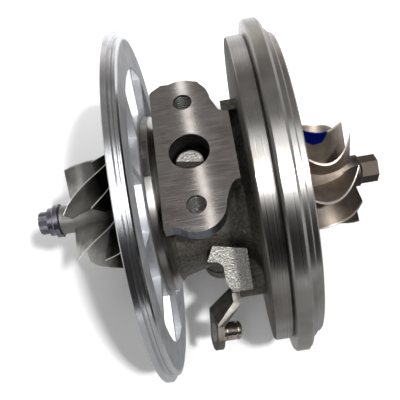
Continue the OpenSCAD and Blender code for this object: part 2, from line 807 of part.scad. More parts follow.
module lever_bush() {
    color("darkkhaki")
        at_pivot()
            ring(boss_end, recess_floor, pivot_r + pivot_clear, pivot_bush_r - eps);
}

module rotor_shaft() {
    groove_r = seal_t_r - ring_w - 0.3;
    groove = ring_t / 2 + ring_clear;
    color("lightsteelblue")
        turned([[0, shaft_end], [stub_r - 0.4, shaft_end], [stub_r, shaft_end + 0.4],
                [stub_r, collar_end], [journal_r, collar_end], [journal_r, catch_end + 0.4],
                [seal_t_shaft - 0.6, seal_t_end], [seal_t_shaft, seal_t_end],
                [seal_t_shaft, ring_t_x() - groove], [groove_r, ring_t_x() - groove],
                [groove_r, ring_t_x() + groove], [seal_t_shaft, ring_t_x() + groove],
                [seal_t_shaft, wheel_t_back], [0, wheel_t_back]]);
}

module thrust_collar() {
    color("lightslategray")
        turned([[stub_r + stub_fit, collar_front], [collar_r, collar_front],
                [collar_r, thrust_front - thrust_film], [collar_neck_r, thrust_front - thrust_film],
                [collar_neck_r, thrust_floor + thrust_film], [collar_r, thrust_floor + thrust_film],
                [collar_r, collar_end], [stub_r + stub_fit, collar_end]]);
}

module seal_sleeve() {
    groove_r = seal_c_r - ring_w - 0.3;
    groove = ring_t / 2 + ring_clear;
    color("lightslategray")
        turned([[stub_r + stub_fit, wheel_c_boss], [seal_c_shaft, wheel_c_boss],
                [seal_c_shaft, ring_c_x() - groove], [groove_r, ring_c_x() - groove],
                [groove_r, ring_c_x() + groove], [seal_c_shaft, ring_c_x() + groove],
                [seal_c_shaft, collar_front], [stub_r + stub_fit, collar_front]]);
}

// Hub and tip lines of the compressor blades, as axial distance and radius
function hub_c() = [[wheel_c_edge - 1, wheel_c_nose_r], [wheel_c_edge + 14, wheel_c_nose_r + 0.8],
    [wheel_c_back - wheel_c_disc_t - 1.2, wheel_c_nose_r + 7],
    [wheel_c_back - wheel_c_disc_t, wheel_c_out_r - blade_c_inset]];
function tip_c() = let (x_out = wheel_c_back - wheel_c_disc_t - wheel_c_out_w)
    [[wheel_c_edge, wheel_c_in_r], [wheel_c_edge + 11, wheel_c_in_r + 0.9],
     [x_out - 2, wheel_c_in_r + 2.6], [x_out, wheel_c_out_r - blade_c_inset]];
// Turn of a compressor blade along its tip line, steep at the leading edge
function turn_c(t) = -11 * (pow(curve(tip_c(), t)[0] - wheel_c_edge + 1, 0.55) - 1)
    - blade_c_sweep * pow(max(0, t - 0.5) * 2, 2);

module compressor_blade(start, angle, steps) {
    root_sink = 0.6;
    skinned([for (i = [0 : steps]) let (t = start + (1 - start) * i / steps, h = curve(hub_c(), t))
        blade_section([h[0] + root_sink * t, h[1] - root_sink * (1 - t)], curve(tip_c(), t),
                      angle + turn_c(t), angle + turn_c(t), blade_c_root, blade_c_tip)]);
}

module compressor_wheel() {
    hub_steps = 12;
    short_start = 0.34;
    full_steps = 16;
    short_steps = 11;
    color("gainsboro")
        difference() {
            union() {
                turned(concat([[0, wheel_c_tip], [wheel_c_nose_r - 0.5, wheel_c_tip],
                               [wheel_c_nose_r, wheel_c_tip + 0.5]],
                              [for (i = [0 : hub_steps]) let (h = curve(hub_c(), i / hub_steps))
                                  [h[1], h[0]]],
                              [[wheel_c_out_r, wheel_c_back - wheel_c_disc_t], [wheel_c_out_r, wheel_c_back],
                               [seal_c_shaft, wheel_c_back],
                               [seal_c_shaft, wheel_c_boss], [0, wheel_c_boss]]));
                for (i = [0 : blades_c - 1]) {
                    compressor_blade(0, blade_c_angle + 360 / blades_c * i, full_steps);
                    compressor_blade(short_start, blade_c_angle + 360 / blades_c * (i + 0.5), short_steps);
                }
            }
            bar(wheel_c_tip - 1, wheel_c_boss + 1, stub_r + stub_fit);
        }
}

module compressor_nut() {
    collar_front_x = wheel_c_tip - nut_flange_t - nut_collar_t;
    color("slategray")
        difference() {
            union() {
                turned([[0, wheel_c_tip - nut_flange_t], [nut_flange_r - 0.5, wheel_c_tip - nut_flange_t],
                        [nut_flange_r, wheel_c_tip - nut_flange_t + 0.5], [nut_flange_r, wheel_c_tip],
                        [0, wheel_c_tip]]);
                bar(collar_front_x, wheel_c_tip - nut_flange_t + eps, nut_collar_r);
                for (a = [0, 30])
                    rotate([a, 0, 0])
                        translate([nut_end, 0, 0])
                            rotate([0, 90, 0])
                                cylinder(h = nut_drive_t + eps, r = nut_drive_r, $fn = 6);
            }
            bar(nut_end - 1, wheel_c_tip + 1, stub_r + stub_fit);
        }
}

// Hub and tip lines of the turbine blades
function hub_t() = [[wheel_t_back + 0.5, wheel_t_in_r], [wheel_t_back + 1.6, wheel_t_in_r * 0.55],
    [wheel_t_back + 9, wheel_t_hub_r + 0.6], [wheel_t_out, wheel_t_hub_r]];
function tip_t() = let (x_in = wheel_t_back + wheel_t_in_w)
    [[x_in, wheel_t_in_r], [x_in + 3, wheel_t_in_r - 1.2],
     [wheel_t_out - 8, wheel_t_out_r], [wheel_t_out, wheel_t_out_r]];
// Turn of a turbine blade along the axis: a slight lean, then the outlet curls back
function turn_t(x) = let (u = (x - wheel_t_back - 4.4) / (wheel_t_out - wheel_t_back - 4.4))
    45 * u - 15 * u * u - 51 * pow(u, 3);

module turbine_blade(angle) {
    steps = 16;
    root_sink = 0.7;
    skinned([for (i = [0 : steps]) let (t = i / steps, h = curve(hub_t(), t), p = curve(tip_t(), t))
        blade_section([h[0], h[1] - root_sink], p,
                      angle + turn_t(h[0]), angle + turn_t(p[0]), blade_t_root, blade_t_tip)]);
}

module turbine_wheel() {
    hub_steps = 12;
    hub_end = wheel_t_out + wheel_t_hub_len;
    color("rosybrown")
        union() {
            turned(concat([[0, wheel_t_back], [wheel_t_disc_r - 1, wheel_t_back],
                           [wheel_t_disc_r, wheel_t_back + 0.8]],
                          [for (i = [2 : hub_steps]) let (h = curve(hub_t(), i / hub_steps))
                              if (h[1] < wheel_t_disc_r - 0.5) [h[1], h[0]]],
                          [[wheel_t_hub_r, hub_end - 1], [hex_r - 0.6, hub_end], [0, hub_end]]));
            translate([hub_end - 1, 0, 0])
                rotate([0, 90, 0])
                    cylinder(h = hex_len + 1, r = hex_r, $fn = 6);
            for (i = [0 : blades_t - 1])
                turbine_blade(blade_t_angle + 360 / blades_t * i);
        }
}

module lever_shaft() {
    color("lightslategray")
        at_pivot()
            bar(lever_face - lever_t, recess_floor + crank_gap + crank_t, pivot_r);
}

// Places the children at the pivot, on the lever's face, with its length along Y
module at_neck() {
    at_pivot()
        rotate([lever_angle, 0, 0])
            translate([lever_face, 0, 0])
                children();
}

// Places the children at the lever's pin, along the twisted end plate's normal
module at_pin() {
    at_neck()
        translate([-joggle, lever_len, 0])
            rotate([0, -lever_twist, end_lean])
                children();
}

// A piece of the lever's plate from its outline, along and across, with its face at the origin
module plate(points, skin) {
    translate([skin - lever_t, 0, 0])
        rotate([90, 0, 90])
            linear_extrude(height = lever_t - 2 * skin)
                polygon(points);
}

// A band across the plate beside a skewed bend
function band(along, half) = let (skew = half * tan(bend_skew))
    [[along + skew, -half], [along + skew + band_w, -half],
     [along - skew + band_w, half], [along - skew, half]];

module actuating_lever() {
    neck = eye_r - 1;
    skin = 0.05;
    bend_out = -(pin_collar_r + bend_gap) / cos(bend_skew) - band_w;
    skew = tan(bend_skew);
    color("gray")
        difference() {
            union() {
                at_pivot()
                    bar(lever_face - lever_t, lever_face, eye_r);
                // The slope between the eye's plane and the twisted end
                hull() {
                    at_neck()
                        plate(band(bend_in - band_w, neck - skin), skin);
                    at_pin()
                        plate(band(bend_out, end_r - skin), skin);
                }
                at_neck()
                    plate([[0, -neck], [bend_in + neck * skew, -neck],
                           [bend_in - neck * skew, neck], [0, neck]], 0);
                at_pin() {
                    plate([[bend_out + end_r * skew, -end_r], [end_tail, -end_r],
                           [end_tail, end_r], [bend_out - end_r * skew, end_r]], 0);
                    translate([0, end_tail, 0])
                        bar(-lever_t, 0, end_r);
                }
            }
            at_pivot()
                bar(lever_face - lever_t - 1, lever_face + 1, pivot_r + eps);
            at_pin()
                bar(-lever_t - 1, 1, pin_r + eps);
        }
}

module lever_pin() {
    relief_end = pin_collar_t + pin_relief_w;
    groove_end = pin_len - pin_head;
    groove_r = pin_r - pin_groove;
    color("tan")
        at_pin()
            turned([[0, -lever_t], [pin_r, -lever_t], [pin_r, 0], [pin_collar_r, 0],
                    [pin_collar_r, pin_collar_t], [groove_r, pin_collar_t], [groove_r, relief_end],
                    [pin_r, relief_end], [pin_r, groove_end - pin_groove_w],
                    [groove_r, groove_end - pin_groove_w], [groove_r, groove_end],
                    [pin_r, groove_end], [pin_r, pin_len - 0.5], [pin_r - 0.5, pin_len], [0, pin_len]]);
}

module nozzle_crank() {
    crank_x = recess_floor + crank_gap;
    tip_r = 2.6;
    color("gray")
        at_pivot()
            rotate([pivot_angle, 0, 0])
                difference() {
                    union() {
                        bar(crank_x, crank_x + crank_t, pivot_r + 2.2);
                        translate([crank_x, 0, -tip_r])
                            cube([crank_t, crank_len, 2 * tip_r]);
                        translate([0, crank_len, 0])
                            bar(crank_x, crank_x + crank_t, tip_r);
                    }
                    bar(crank_x - 1, crank_x + crank_t + 1, pivot_r + eps);
                }
}

bearing_housing();
compressor_backplate();
backplate_bolts();
backplate_seal_ring();
thrust_bearing();
bush_retaining_rings();
journal_bush_compressor();
journal_bush_turbine();
piston_ring_compressor();
piston_ring_turbine();
heat_shield();
lever_bush();
rotor_shaft();
thrust_collar();
seal_sleeve();
compressor_wheel();
compressor_nut();
turbine_wheel();
lever_shaft();
actuating_lever();
lever_pin();
nozzle_crank();
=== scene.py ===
"""Looks of a turbocharger cartridge that lies on a white table, pad upwards."""
import json
import math

import bmesh
import bpy
from mathutils import Matrix, Vector

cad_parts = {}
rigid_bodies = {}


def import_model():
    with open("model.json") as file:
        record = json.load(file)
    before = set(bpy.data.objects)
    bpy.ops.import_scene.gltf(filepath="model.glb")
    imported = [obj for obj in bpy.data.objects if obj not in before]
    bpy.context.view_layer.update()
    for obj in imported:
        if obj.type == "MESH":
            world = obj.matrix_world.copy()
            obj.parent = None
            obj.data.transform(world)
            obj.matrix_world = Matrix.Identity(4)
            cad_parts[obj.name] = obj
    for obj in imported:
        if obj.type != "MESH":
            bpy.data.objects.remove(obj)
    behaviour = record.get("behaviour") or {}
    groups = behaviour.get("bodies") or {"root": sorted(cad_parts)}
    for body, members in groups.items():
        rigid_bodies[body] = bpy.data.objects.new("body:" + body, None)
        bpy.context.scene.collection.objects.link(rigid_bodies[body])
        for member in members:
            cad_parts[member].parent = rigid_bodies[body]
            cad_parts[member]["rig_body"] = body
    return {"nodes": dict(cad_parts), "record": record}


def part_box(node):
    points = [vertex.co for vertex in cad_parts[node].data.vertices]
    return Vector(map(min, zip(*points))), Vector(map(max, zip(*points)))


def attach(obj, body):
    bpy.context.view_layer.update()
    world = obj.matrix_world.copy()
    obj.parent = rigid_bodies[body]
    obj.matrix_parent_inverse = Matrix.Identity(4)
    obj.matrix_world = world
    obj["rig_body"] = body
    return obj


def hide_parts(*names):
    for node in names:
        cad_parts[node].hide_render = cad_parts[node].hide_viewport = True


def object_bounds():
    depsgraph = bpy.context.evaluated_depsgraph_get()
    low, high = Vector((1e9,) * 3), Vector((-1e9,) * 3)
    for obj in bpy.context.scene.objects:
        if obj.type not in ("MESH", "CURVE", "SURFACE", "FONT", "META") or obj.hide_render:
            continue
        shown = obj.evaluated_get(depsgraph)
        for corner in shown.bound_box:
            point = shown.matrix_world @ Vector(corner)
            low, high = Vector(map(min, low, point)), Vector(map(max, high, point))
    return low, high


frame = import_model()
nodes = frame["nodes"]
cad_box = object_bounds()

MM = 0.001
MOUNTS = {mount["name"]: mount for mount in frame["record"]["mounts"]}

# Where the finishes lie, in mm. "Behind" counts along the rotor's axis, from its middle to the compressor.
# The milled oil pad: its centre, where it starts, and its edge with a band of painted shade below
PAD = Vector(MOUNTS["oil_inlet"]["pos_m"]) / MM
PAD_START = 14
EDGE_HEIGHT = 5.5
EDGE_BEHIND = (19, 43)
EDGE_SHADE = 4
# The turned turbine flange and the turned end for the backplate: place along the axis, inner radius
FLANGE_BACK, FLANGE_CORE = -12, 44
END_BEHIND, END_CORE = 42.4, 30
# The face of the lever's boss, pale for its blasting and as painted light: its normal, and its reach along
# that normal, behind and upwards
BOSS_NORMAL = (0, -0.708, 0.706)
BOSS_REACH = (26.6, 27.9)
BOSS_BEHIND = (16.6, 31.9)
BOSS_HEIGHT = (-12, 14)
# The oil inlet's floor, a disc, and the pool of painted light that covers a part of it
INLET_FLOOR = PAD + Vector((-0.8, 1, -MOUNTS["oil_inlet"]["dims"]["length_mm"]))
FLOOR_RADIUS = 4.9
LIT_POOL_NORMAL, LIT_POOL_START = (0.19, 1, 0), -4.6
# Threads of the bolt holes reach down to this height
THREAD_FLOOR = 18
THREAD_PITCH = 1.25
# The backplate's ring face along the axis, and the pockets cut into it
RING_FACE = -48.2
POCKET_DEPTH = 3.4
POCKET_RADII = (34.5, 54)
# The compressor wheel: how far in front of its back the skin turns from painted shade to pale, and its nose
PASSAGE_DEPTH = (15, 21)
NOSE_RADIUS = 8
# The turbine wheel's hexagonal end along the axis, and the mark on one of its blades
HEX_START = 27
MARK_CENTRE = (15.1, 8.3, 20.6)
MARK_REACH = 5.2
MARK_WANDER = 2


# Colours and nodes

def linear(hex_colour):
    """An sRGB hex colour as the linear colour that Blender takes."""
    channels = [int(hex_colour[i:i + 2], 16) / 255 for i in (1, 3, 5)]
    return [c / 12.92 if c <= 0.04045 else ((c + 0.055) / 1.055) ** 2.4 for c in channels] + [1.0]


def grey(value):
    return [value, value, value, 1.0]


def per_metre(size_mm):
    """Texture scale at which one grain or line is about this many millimetres wide."""
    return 1 / (size_mm * MM)


def join(tree, node, inputs):
    """Sets each input of a node, or links it to a socket or to another node's live output."""
    for key, value in inputs.items():
        if isinstance(value, bpy.types.Node):
            value = next(output for output in value.outputs if output.enabled)
        if isinstance(value, bpy.types.NodeSocket):
            tree.links.new(value, node.inputs[key])
        else:
            node.inputs[key].default_value = value
    return node


def add(tree, kind, inputs=None, **settings):
    """Adds a node with its settings and links."""
    node = tree.nodes.new(kind)
    for name, value in settings.items():
        setattr(node, name, value)
    return join(tree, node, inputs or {})


def blank_material(name):
    material = bpy.data.materials.new(name)
    material.use_nodes = True
    material.node_tree.nodes.clear()
    return material, material.node_tree


def new_material(name, metallic=1.0):
    """A material with only a Principled shader, and the Object coordinates that its patterns use."""
    material, tree = blank_material(name)
    shader = add(tree, "ShaderNodeBsdfPrincipled", {"Metallic": metallic})
    add(tree, "ShaderNodeOutputMaterial", {"Surface": shader})
    place = add(tree, "ShaderNodeTexCoord").outputs["Object"]
    return material, tree, shader, place


def mottle(tree, place, size_mm, dark, pale, detail=4.0):
    """Noise of that grain size, spread between two colours."""
    noise = add(tree, "ShaderNodeTexNoise",
                {"Vector": place, "Scale": per_metre(size_mm), "Detail": detail})
    ramp = add(tree, "ShaderNodeValToRGB", {"Fac": noise})
    low, high = ramp.color_ramp.elements
    # Nearly all of the noise lies between these values
    low.position, low.color = 0.34, dark
    high.position, high.color = 0.66, pale
    return ramp


def layered(tree, ground, *layers):
    """A colour or value with others laid over it, each by the share of its mask."""
    for mask, layer in layers:
        ground = add(tree, "ShaderNodeMix", {0: mask, 6: ground, 7: layer}, data_type="RGBA")
    return ground


def where_all(tree, mask, *others):
    """1 where every mask is 1."""
    for other in others:
        mask = add(tree, "ShaderNodeMath", {0: mask, 1: other}, operation="MULTIPLY")
    return mask


def where_any(tree, mask, *others):
    """1 where any mask is 1."""
    for other in others:
        mask = add(tree, "ShaderNodeMath", {0: mask, 1: other}, operation="MAXIMUM")
    return mask


def beyond(tree, value, start_mm, width_mm=0.2):
    """0 below a place and 1 above it."""
    return add(tree, "ShaderNodeMapRange",
               {"Value": value, "From Min": (start_mm - width_mm / 2) * MM,
                "From Max": (start_mm + width_mm / 2) * MM})


def between(tree, value, start_mm, end_mm):
    """1 between two places and 0 outside them."""
    return add(tree, "ShaderNodeMath", {0: beyond(tree, value, start_mm), 1: beyond(tree, value, end_mm)},
               operation="SUBTRACT")


def near(tree, place, centre_mm, reach_mm, blur_mm):
    """1 around a point and 0 outside its reach."""
    centre = [c * MM for c in centre_mm]
    away = add(tree, "ShaderNodeVectorMath", {0: place, 1: centre}, operation="DISTANCE")
    return add(tree, "ShaderNodeMapRange",
               {"Value": away, "From Min": (reach_mm + blur_mm) * MM, "From Max": (reach_mm - blur_mm) * MM})


def around_axis(tree, place):
    """A place in turned coordinates: distance from the rotor's axis, then along it."""
    along = add(tree, "ShaderNodeSeparateXYZ", {"Vector": place}).outputs["X"]
    across = add(tree, "ShaderNodeVectorMath", {0: place, 1: (0, 1, 1)}, operation="MULTIPLY")
    return add(tree, "ShaderNodeVectorMath", {0: across}, operation="LENGTH"), along


def turned_lines(tree, place, pitch_mm):
    """Uneven tool lines that run round the rotor's axis."""
    radius, along = around_axis(tree, place)
    turned = add(tree, "ShaderNodeCombineXYZ", {"X": radius, "Y": along})
    return add(tree, "ShaderNodeTexNoise", {"Vector": turned, "Scale": per_metre(pitch_mm), "Detail": 2.0})


def cut_direction(tree, place):
    """Across the tool lines of a turned piece: along the axis on a rim, outwards on a face."""
    across = add(tree, "ShaderNodeVectorMath", {0: place, 1: (0, 1, 1)}, operation="MULTIPLY")
    outwards = add(tree, "ShaderNodeVectorMath", {0: across}, operation="NORMALIZE")
    return add(tree, "ShaderNodeVectorMath", {0: outwards, 1: (1, 0, 0)}, operation="ADD")


def cut_tips(tree, place, node, depth_mm):
    """1 on the blade tips of a wheel, which are turned to one outline after casting."""
    low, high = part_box(node)
    stations = 24
    span = high.x - low.x
    reach = max(-low.y, high.y)
    # The hub, which has no tips, lies within this share of the reach
    hub_share = 0.6
    tips = [0.0] * (stations + 1)
    for vertex in nodes[node].data.vertices:
        station = (vertex.co.x - low.x) / span * stations
        for i in {math.floor(station), math.ceil(station)}:
            tips[i] = max(tips[i], math.hypot(vertex.co.y, vertex.co.z))
    radius, along = around_axis(tree, place)
    share = add(tree, "ShaderNodeMapRange", {"Value": along, "From Min": low.x, "From Max": high.x})
    outline = add(tree, "ShaderNodeValToRGB", {"Fac": share})
    stops = outline.color_ramp.elements
    while len(stops) < stations + 1:
        stops.new(1.0)
    for i, (stop, tip) in enumerate(zip(stops, tips)):
        stop.position = i / stations
        stop.color = grey(tip / reach)
    tip = add(tree, "ShaderNodeMath", {0: outline, 1: reach}, operation="MULTIPLY")
    past_tip = add(tree, "ShaderNodeMath", {0: radius, 1: tip}, operation="SUBTRACT")
    return where_all(tree, beyond(tree, past_tip, -depth_mm, width_mm=0.3),
                     beyond(tree, radius, reach / MM * hub_share))


# Materials

def cast_housing():
    """Grey iron, sand cast, with a milled pad and a turned flange.

    The cast skin is dull and grainy, and pale on the lever's boss, partly for its blasting and partly as
    painted light where that face meets the lamp. Cutting leaves fine lines, along X on the pad and round
    the axis on the flange, and a highlight stretches across them. Painted shade lies on the inlet's wall,
    in the threads' roots and below the pad's edge, and painted light on the threads' crests and part of the
    inlet's floor.
    """
    material, tree, shader, place = new_material("grey_iron_cast_and_cut")
    radius, along = around_axis(tree, place)
    height = add(tree, "ShaderNodeSeparateXYZ", {"Vector": place}).outputs["Z"]
    behind = add(tree, "ShaderNodeMath", {0: along, 1: -1.0}, operation="MULTIPLY")
    on_end = where_all(tree, beyond(tree, behind, END_BEHIND), beyond(tree, radius, END_CORE))
    on_flange = where_all(tree, beyond(tree, along, FLANGE_BACK), beyond(tree, radius, FLANGE_CORE))
    on_flange = where_any(tree, on_flange, on_end)
    on_pad = where_all(tree, beyond(tree, height, PAD.z - 0.1, width_mm=0.1),
                       beyond(tree, behind, PAD_START))

    # The boss's sloping face is rough and pale, partly for its blasting and partly as painted light, and a
    # part of the inlet's floor is a rough, pale pool of painted light
    slope = add(tree, "ShaderNodeVectorMath", {0: place, 1: BOSS_NORMAL}, operation="DOT_PRODUCT")
    on_boss = where_all(tree, between(tree, slope, *BOSS_REACH), between(tree, behind, *BOSS_BEHIND),
                        between(tree, height, *BOSS_HEIGHT))
    in_floor = near(tree, place, INLET_FLOOR, FLOOR_RADIUS, blur_mm=0.3)
    across = add(tree, "ShaderNodeVectorMath", {0: place, 1: LIT_POOL_NORMAL}, operation="DOT_PRODUCT")
    painted_light_on_floor = where_all(tree, in_floor, beyond(tree, across, LIT_POOL_START, width_mm=0.5))
    pale = where_any(tree, on_boss, painted_light_on_floor)

    # The inlet's wall is painted black as shade and its floor dark grey, and the threads beside it have a
    # painted highlight on their crests and painted shade in their roots
    flat = add(tree, "ShaderNodeMapping", {"Vector": place, "Scale": (1, 1, 0)})
    above = beyond(tree, height, PAD.z - 0.6, width_mm=0.1)
    below_pad = add(tree, "ShaderNodeMath", {0: 1.0, 1: above}, operation="SUBTRACT")
    inlet_reach = MOUNTS["oil_inlet"]["dims"]["r_mm"] + 0.2
    in_inlet = near(tree, flat, (PAD.x, PAD.y, 0), inlet_reach, blur_mm=0.05)
    painted_shade_in_inlet = where_all(tree, in_inlet, below_pad)
    bolts = MOUNTS["oil_inlet_bolts"]["dims"]
    half = bolts["spacing_y_mm"] / 2
    root_reach, crest_reach = bolts["hole_r_mm"] + 0.3, bolts["hole_r_mm"] - 0.2
    in_hole, painted_highlight_on_crest = [
        where_any(tree, *[near(tree, flat, (PAD.x, y, 0), reach, blur_mm=0.06) for y in (-half, half)])
        for reach in (root_reach, crest_reach)]
    tapped = where_all(tree, in_hole, below_pad, beyond(tree, height, THREAD_FLOOR))

    # The pad's edge is milled too, and dull, and the casting below it carries a band of painted shade where
    # the edge overhangs it
    edge_foot = PAD.z - EDGE_HEIGHT
    by_edge = between(tree, behind, *EDGE_BEHIND)
    on_edge = where_all(tree, between(tree, height, edge_foot, PAD.z), by_edge)
    in_bore = where_any(tree, painted_shade_in_inlet, tapped)
    on_edge = add(tree, "ShaderNodeMath", {0: on_edge, 1: in_bore}, operation="SUBTRACT")
    shade_share = 0.8
    painted_shade_under_edge = where_all(tree, between(tree, height, edge_foot - EDGE_SHADE, edge_foot), by_edge,
                           shade_share)

    # Sand grains of about half a millimetre, drawn at twice that so that they show
    skin = mottle(tree, place, 1.1, linear("#3d3a34"), linear("#8d877e"))
    stain = mottle(tree, place, 12, linear("#53504a"), linear("#807d77"), detail=2.0)
    # Pale grains for the boss's face, partly its blasting and partly painted light, and for the pool of
    # painted light in the inlet
    blasted = mottle(tree, place, 0.5, linear("#8d8a84"), linear("#ebe8e2"))
    edge = mottle(tree, place, 6, linear("#6a7177"), linear("#7f868c"), detail=2.0)
    # The inlet: painted black shade on its wall, dark grey on its floor
    inlet = layered(tree, linear("#0e0d0c"), (in_floor, linear("#4a4744")))
    # The threads: a painted highlight on their crests, painted shade in their roots
    threads = layered(tree, linear("#615e5c"), (painted_highlight_on_crest, linear("#f6f5f3")))
    browned = mottle(tree, place, 30, linear("#62513f"), linear("#b3b2b0"), detail=3.0)
    land = mottle(tree, place, 16, linear("#888581"), linear("#b3b2b0"), detail=2.0)
    land = layered(tree, land, (0.3, browned))
    drawn = add(tree, "ShaderNodeMapping", {"Vector": place, "Scale": (0.04, 1, 1)})
    worn = mottle(tree, place, 9, linear("#857d78"), linear("#afaca9"), detail=2.0)
    streak = layered(tree, mottle(tree, drawn, 0.35, linear("#948e8a"), linear("#aaa5a2")), (0.4, worn))
    colour = layered(tree, skin, (0.5, stain), (painted_shade_under_edge, linear("#100f0e")), (on_edge, edge),
                     (painted_shade_in_inlet, inlet), (pale, blasted), (tapped, threads), (on_flange, land), (on_pad, streak))

    lines = turned_lines(tree, place, 0.5)
    rings = add(tree, "ShaderNodeMapRange",
                {"Value": lines, "From Min": 0.3, "From Max": 0.7, "To Min": 0.24, "To Max": 0.42})
    strokes = mottle(tree, drawn, 0.35, grey(0.11), grey(0.17))
    roughness = layered(tree, grey(0.6), (on_edge, grey(0.35)), (tapped, grey(0.3)), (on_flange, rings),
                        (on_pad, strokes))
    grains = add(tree, "ShaderNodeTexNoise", {"Vector": place, "Scale": per_metre(0.9), "Detail": 3.0})
    shallow = layered(tree, lines, (0.95, grey(0.5)))
    cut = where_any(tree, on_flange, on_pad, on_edge)
    relief = layered(tree, grains, (cut, shallow), (on_pad, grey(0.5)))
    join(tree, shader, {
        "Base Color": colour,
        "Roughness": roughness,
        "Anisotropic": layered(tree, grey(0.0), (on_flange, grey(0.7)), (on_pad, grey(1.0))),
        "Tangent": layered(tree, cut_direction(tree, place), (on_pad, (0, 1, 0, 1))),
        "Normal": add(tree, "ShaderNodeBump", {"Height": relief, "Distance": 0.5 * MM, "Strength": 0.7}),
    })
    return material


def turned_aluminium():
    """Aluminium, cast and then turned: a bright rim with fine rings, and a ring face blasted dull."""
    material, tree, shader, place = new_material("aluminium_turned")
    radius, along = around_axis(tree, place)
    on_face = between(tree, along, RING_FACE - 0.15, RING_FACE + 1)
    in_pocket = where_all(tree, between(tree, along, RING_FACE - POCKET_DEPTH, RING_FACE - 0.15),
                          between(tree, radius, *POCKET_RADII))
    bright = mottle(tree, place, 20, linear("#c3c4c7"), linear("#d9dadd"), detail=2.0)
    satin = mottle(tree, place, 6, linear("#a0a1a4"), linear("#b6b7ba"), detail=2.0)
    lines = turned_lines(tree, place, 0.3)
    rings = add(tree, "ShaderNodeMapRange", {"Value": lines, "To Min": 0.12, "To Max": 0.28})
    join(tree, shader, {
        "Base Color": layered(tree, bright, (on_face, satin)),
        # The face stays dull when it is seen along its surface, and the pockets keep their cast skin
        "Metallic": add(tree, "ShaderNodeMapRange", {"Value": on_face, "To Min": 1.0, "To Max": 0.5}),
        "Specular Tint": layered(tree, grey(1.0), (on_face, grey(0.5))),
        "Roughness": layered(tree, rings, (on_face, grey(0.5)), (in_pocket, grey(0.5))),
        "Anisotropic": 0.5,
        "Tangent": cut_direction(tree, place),
        "Normal": add(tree, "ShaderNodeBump", {"Height": lines, "Distance": 0.03 * MM}),
    })
    return material


def wheel_aluminium():
    """Aluminium wheel, investment cast: a fine satin skin with painted shade deep between the blades, cut on
    their tips.
    """
    material, tree, shader, place = new_material("aluminium_satin_cast")
    radius, along = around_axis(tree, place)
    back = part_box("compressor_wheel")[1].x
    in_front = add(tree, "ShaderNodeMapRange", {"Value": along, "From Min": back - PASSAGE_DEPTH[0] * MM,
                                                "From Max": back - PASSAGE_DEPTH[1] * MM})
    # Painted shade deep between the blades, near the wheel's back
    painted_shade_deep = mottle(tree, place, 3, linear("#2b2927"), linear("#3a3734"))
    satin = mottle(tree, place, 3, linear("#a9a7a3"), linear("#c3c1bd"))
    # The nose between the blades is as dull as they are
    blades = layered(tree, linear("#96948f"), (beyond(tree, radius, NOSE_RADIUS, width_mm=2), satin))
    tips = cut_tips(tree, place, "compressor_wheel", depth_mm=0.5)
    grains = add(tree, "ShaderNodeTexNoise", {"Vector": place, "Scale": per_metre(0.6), "Detail": 2.0})
    join(tree, shader, {
        "Base Color": layered(tree, painted_shade_deep, (in_front, blades), (tips, linear("#f8f7f5"))),
        "Roughness": add(tree, "ShaderNodeMapRange", {"Value": grains, "To Min": 0.42, "To Max": 0.58}),
        "Normal": add(tree, "ShaderNodeBump", {"Height": grains, "Distance": 0.03 * MM}),
    })
    return material


def wheel_nickel():
    """Nickel alloy wheel, investment cast and browned a little, with blue marking dye on one blade."""
    material, tree, shader, place = new_material("nickel_alloy_cast")
    along = add(tree, "ShaderNodeSeparateXYZ", {"Vector": place}).outputs["X"]
    tone = mottle(tree, place, 5, linear("#7d736a"), linear("#978c81"))
    tips = cut_tips(tree, place, "turbine_wheel", depth_mm=0.5)
    # The dye was dabbed on near the blade's inlet. Its edge is uneven, and the metal shines through it
    edge = add(tree, "ShaderNodeTexNoise", {"Vector": place, "Scale": per_metre(3), "Detail": 1.0})
    shift = add(tree, "ShaderNodeVectorMath", {0: edge.outputs["Color"], 1: [MARK_WANDER * MM] * 3},
                operation="MULTIPLY")
    shaken = add(tree, "ShaderNodeVectorMath", {0: place, 1: shift}, operation="ADD")
    dyed = near(tree, shaken, MARK_CENTRE, MARK_REACH, blur_mm=0.3)
    grains = add(tree, "ShaderNodeTexNoise", {"Vector": place, "Scale": per_metre(0.6), "Detail": 3.0})
    join(tree, shader, {
        # The hexagonal end is painted dark as shade, so that its flat faces don't mirror the lamps brightly
        "Base Color": layered(tree, tone, (beyond(tree, along, HEX_START, width_mm=3), linear("#463f3a")),
                              (tips, linear("#cfc8c0")), (dyed, linear("#071b84"))),
        "Roughness": add(tree, "ShaderNodeMapRange", {"Value": grains, "To Min": 0.5, "To Max": 0.65}),
        "Normal": add(tree, "ShaderNodeBump", {"Height": grains, "Distance": 0.04 * MM}),
    })
    return material


def plain_metal(name, dark, pale, rough):
    """A cut or ground metal: slightly uneven tone and fine lines round the rotor's axis."""
    material, tree, shader, place = new_material(name)
    lines = turned_lines(tree, place, 0.3)
    join(tree, shader, {
        "Base Color": mottle(tree, place, 2, linear(dark), linear(pale)),
        "Roughness": add(tree, "ShaderNodeMapRange",
                         {"Value": lines, "To Min": rough - 0.08, "To Max": rough + 0.08}),
        "Normal": add(tree, "ShaderNodeBump", {"Height": lines, "Distance": 0.02 * MM}),
    })
    return material


def seal_rubber():
    """Moulded nitrile rubber: black and matte."""
    material, tree, shader, place = new_material("nitrile_rubber", metallic=0.0)
    join(tree, shader, {"Base Color": mottle(tree, place, 1, linear("#161616"), linear("#232323")),
                        "Roughness": 0.7})
    return material


